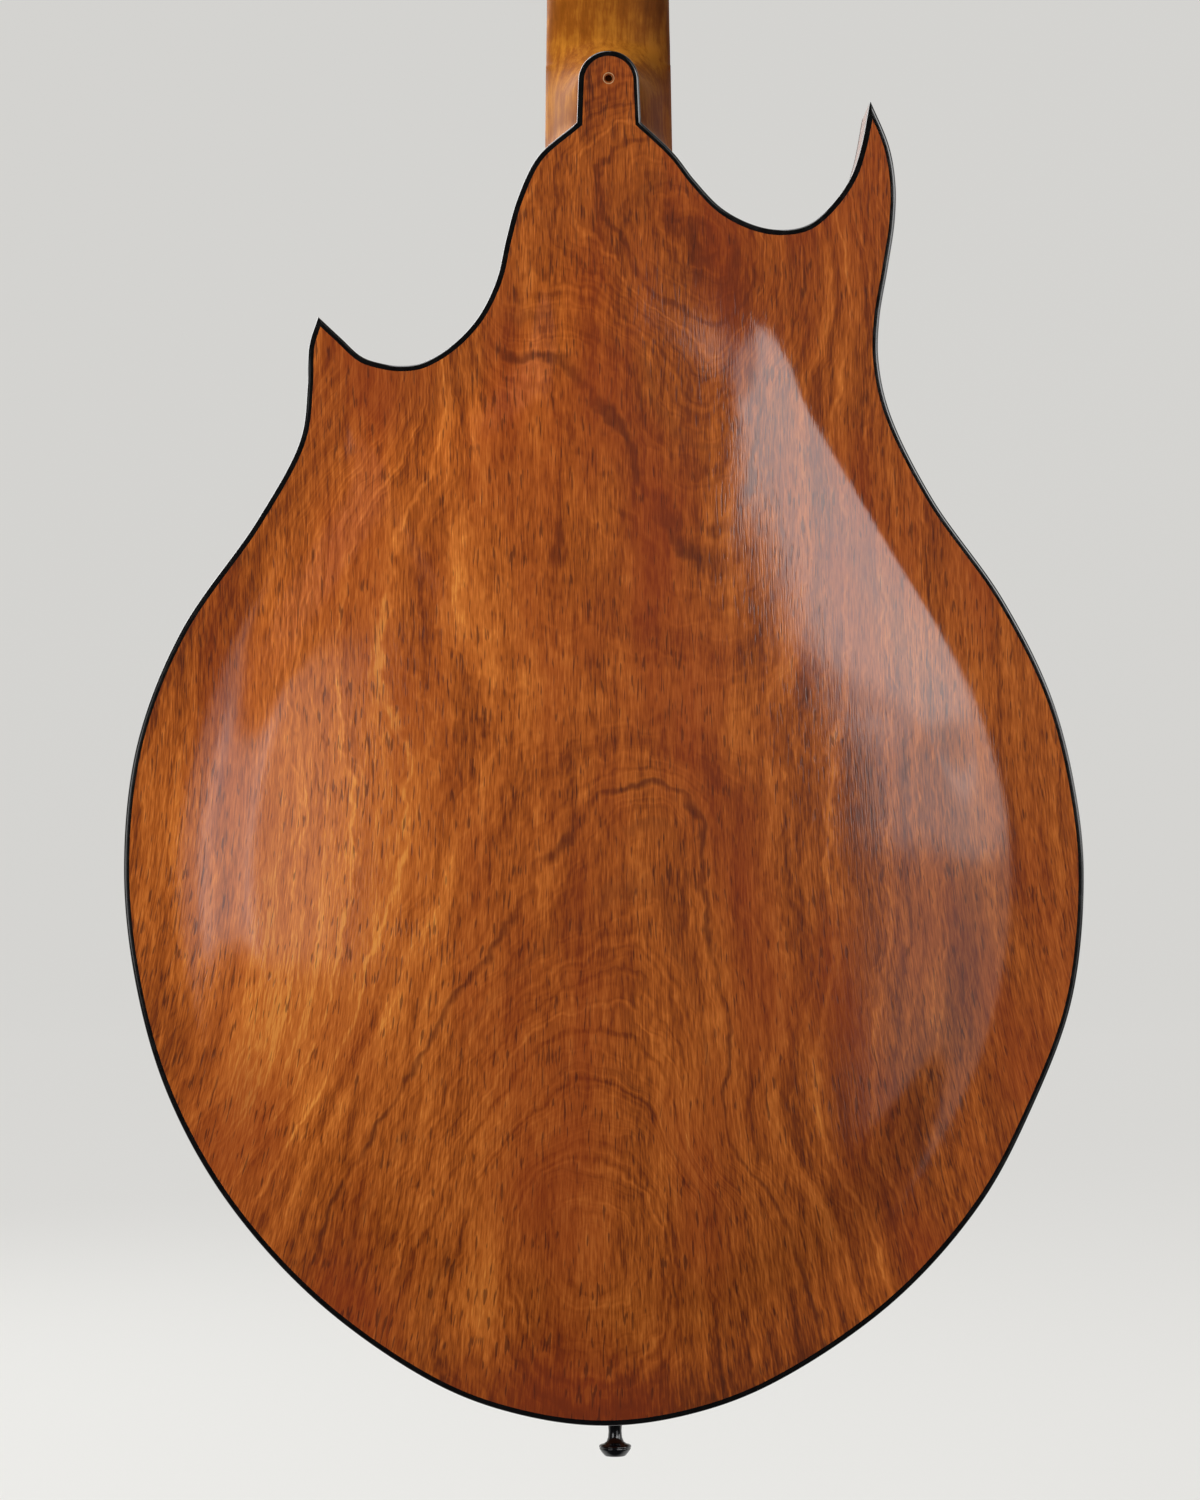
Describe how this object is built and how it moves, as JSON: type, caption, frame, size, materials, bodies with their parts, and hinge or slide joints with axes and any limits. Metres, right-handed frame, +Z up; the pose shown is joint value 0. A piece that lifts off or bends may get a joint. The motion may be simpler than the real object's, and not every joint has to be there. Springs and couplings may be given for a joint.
{
  "type": "mandola",
  "caption": "Mandola with carved arched plates, a pointed body, a heel button, a floating bridge and worm-geared tuners.",
  "frame": {"origin": "middle of the nut line, on the glue face of the neck, where a hanger holds the head", "axes": "+Z up along the body and neck, +Y from the back to the strings, +X to the bass side"},
  "size_m": [0.2814, 0.1096, 0.7538],
  "materials": {
    "back_wood": "glossy lacquer over figured red-brown wood",
    "spruce": "glossy lacquer over spruce",
    "inner_wood": "bare wood",
    "maple": "amber lacquer over maple",
    "black_binding": "polished black",
    "ebony": "oiled ebony",
    "bone": "polished bone",
    "steel": "plain steel",
    "bronze": "wound bronze",
    "nickel": "nickel plate",
    "pearl": "pearloid",
    "brass": "turned brass",
    "black_metal": "gloss black"
  },
  "bodies": {
    "instrument": {"back_plate": "back_wood", "top_plate": "spruce", "bass_rib": "back_wood", "treble_rib": "back_wood", "bass_cutaway_rib": "back_wood", "treble_cutaway_rib": "back_wood", "back_binding": "black_binding", "top_binding": "black_binding", "neck_block": "inner_wood", "tail_block": "inner_wood", "bass_point_block": "inner_wood", "treble_point_block": "inner_wood", "back_lining": "inner_wood", "top_lining": "inner_wood", "bass_tone_bar": "spruce", "treble_tone_bar": "spruce", "neck": "maple", "head_veneer": "ebony", "fretboard": "ebony", "nut": "bone", "truss_rod": "steel", "truss_rod_cover": "ebony", "bridge_base": "ebony", "bridge_post_bass": "steel", "bridge_post_treble": "steel", "tailpiece_base": "nickel", "end_pin": "black_metal", "tuner_plate_bass": "nickel", "tuner_plate_treble": "nickel", "string_c_1": "bronze", "string_c_2": "bronze", "string_g_1": "bronze", "string_g_2": "bronze", "string_d_1": "steel", "string_d_2": "steel", "string_a_1": "steel", "string_a_2": "steel"},
    "saddle": {"bridge_saddle": "ebony"},
    "wheel_bass": {"thumbwheel_bass": "brass"},
    "wheel_treble": {"thumbwheel_treble": "brass"},
    "cover": {"tailpiece_cover": "nickel"},
    "rod_nut": {"truss_rod_nut": "brass"},
    "button_bass_1": {"tuner_button_bass_1": "pearl"},
    "post_bass_1": {"tuner_post_bass_1": "nickel"},
    "button_bass_2": {"tuner_button_bass_2": "pearl"},
    "post_bass_2": {"tuner_post_bass_2": "nickel"},
    "button_bass_3": {"tuner_button_bass_3": "pearl"},
    "post_bass_3": {"tuner_post_bass_3": "nickel"},
    "button_bass_4": {"tuner_button_bass_4": "pearl"},
    "post_bass_4": {"tuner_post_bass_4": "nickel"},
    "button_treble_1": {"tuner_button_treble_1": "pearl"},
    "post_treble_1": {"tuner_post_treble_1": "nickel"},
    "button_treble_2": {"tuner_button_treble_2": "pearl"},
    "post_treble_2": {"tuner_post_treble_2": "nickel"},
    "button_treble_3": {"tuner_button_treble_3": "pearl"},
    "post_treble_3": {"tuner_post_treble_3": "nickel"},
    "button_treble_4": {"tuner_button_treble_4": "pearl"},
    "post_treble_4": {"tuner_post_treble_4": "nickel"}
  },
  "joints": [
    {"name": "tuner_bass_1", "type": "hinge", "parent": "instrument", "child": "button_bass_1", "pos_m": [0.02, -0.0304, 0.03231], "axis": [1, 0, 0], "continuous": true},
    {"name": "post_turn_bass_1", "type": "hinge", "parent": "instrument", "child": "post_bass_1", "pos_m": [0.02, -0.00937, 0.03154], "axis": [0, 0.9483, 0.3174], "continuous": true},
    {"name": "tuner_bass_2", "type": "hinge", "parent": "instrument", "child": "button_bass_2", "pos_m": [0.02, -0.03772, 0.05416], "axis": [1, 0, 0], "continuous": true},
    {"name": "post_turn_bass_2", "type": "hinge", "parent": "instrument", "child": "post_bass_2", "pos_m": [0.02, -0.01669, 0.0534], "axis": [0, 0.9483, 0.3174], "continuous": true},
    {"name": "tuner_bass_3", "type": "hinge", "parent": "instrument", "child": "button_bass_3", "pos_m": [0.02, -0.04503, 0.07602], "axis": [1, 0, 0], "continuous": true},
    {"name": "post_turn_bass_3", "type": "hinge", "parent": "instrument", "child": "post_bass_3", "pos_m": [0.02, -0.024, 0.07525], "axis": [0, 0.9483, 0.3174], "continuous": true},
    {"name": "tuner_bass_4", "type": "hinge", "parent": "instrument", "child": "button_bass_4", "pos_m": [0.02, -0.05234, 0.09787], "axis": [1, 0, 0], "continuous": true},
    {"name": "post_turn_bass_4", "type": "hinge", "parent": "instrument", "child": "post_bass_4", "pos_m": [0.02, -0.03131, 0.09711], "axis": [0, 0.9483, 0.3174], "continuous": true},
    {"name": "tuner_treble_1", "type": "hinge", "parent": "instrument", "child": "button_treble_1", "pos_m": [-0.02, -0.0304, 0.03231], "axis": [1, 0, 0], "continuous": true},
    {"name": "post_turn_treble_1", "type": "hinge", "parent": "instrument", "child": "post_treble_1", "pos_m": [-0.02, -0.00937, 0.03154], "axis": [0, 0.9483, 0.3174], "continuous": true},
    {"name": "tuner_treble_2", "type": "hinge", "parent": "instrument", "child": "button_treble_2", "pos_m": [-0.02, -0.03772, 0.05416], "axis": [1, 0, 0], "continuous": true},
    {"name": "post_turn_treble_2", "type": "hinge", "parent": "instrument", "child": "post_treble_2", "pos_m": [-0.02, -0.01669, 0.0534], "axis": [0, 0.9483, 0.3174], "continuous": true},
    {"name": "tuner_treble_3", "type": "hinge", "parent": "instrument", "child": "button_treble_3", "pos_m": [-0.02, -0.04503, 0.07602], "axis": [1, 0, 0], "continuous": true},
    {"name": "post_turn_treble_3", "type": "hinge", "parent": "instrument", "child": "post_treble_3", "pos_m": [-0.02, -0.024, 0.07525], "axis": [0, 0.9483, 0.3174], "continuous": true},
    {"name": "tuner_treble_4", "type": "hinge", "parent": "instrument", "child": "button_treble_4", "pos_m": [-0.02, -0.05234, 0.09787], "axis": [1, 0, 0], "continuous": true},
    {"name": "post_turn_treble_4", "type": "hinge", "parent": "instrument", "child": "post_treble_4", "pos_m": [-0.02, -0.03131, 0.09711], "axis": [0, 0.9483, 0.3174], "continuous": true},
    {"name": "saddle_height", "type": "slide", "parent": "instrument", "child": "saddle", "axis": [0, 1, 0], "range_m": [-0.0014, 0]},
    {"name": "wheel_turn_bass", "type": "hinge", "parent": "saddle", "child": "wheel_bass", "pos_m": [0.033, 0.04214, -0.41706], "axis": [0, 1, 0], "range_deg": [-630, 0]},
    {"name": "wheel_turn_treble", "type": "hinge", "parent": "saddle", "child": "wheel_treble", "pos_m": [-0.033, 0.04214, -0.41706], "axis": [0, 1, 0], "range_deg": [-630, 0]},
    {"name": "cover_slide", "type": "slide", "parent": "instrument", "child": "cover", "axis": [0, 0, -1], "range_m": [0, 0.06]},
    {"name": "rod_nut_turn", "type": "hinge", "parent": "instrument", "child": "rod_nut", "pos_m": [0, -0.00617, -0.00059], "axis": [0, -0.0959, 0.9954], "range_deg": [-180, 180]}
  ],
  "couplings": [
    {"joint": "post_turn_bass_1", "follows": "tuner_bass_1", "ratio": -0.0625},
    {"joint": "post_turn_bass_2", "follows": "tuner_bass_2", "ratio": -0.0625},
    {"joint": "post_turn_bass_3", "follows": "tuner_bass_3", "ratio": -0.0625},
    {"joint": "post_turn_bass_4", "follows": "tuner_bass_4", "ratio": -0.0625},
    {"joint": "post_turn_treble_1", "follows": "tuner_treble_1", "ratio": -0.0625},
    {"joint": "post_turn_treble_2", "follows": "tuner_treble_2", "ratio": -0.0625},
    {"joint": "post_turn_treble_3", "follows": "tuner_treble_3", "ratio": -0.0625},
    {"joint": "post_turn_treble_4", "follows": "tuner_treble_4", "ratio": -0.0625},
    {"joint": "wheel_turn_bass", "follows": "saddle_height", "rad_per_m": 7854},
    {"joint": "wheel_turn_treble", "follows": "saddle_height", "rad_per_m": 7854}
  ]
}
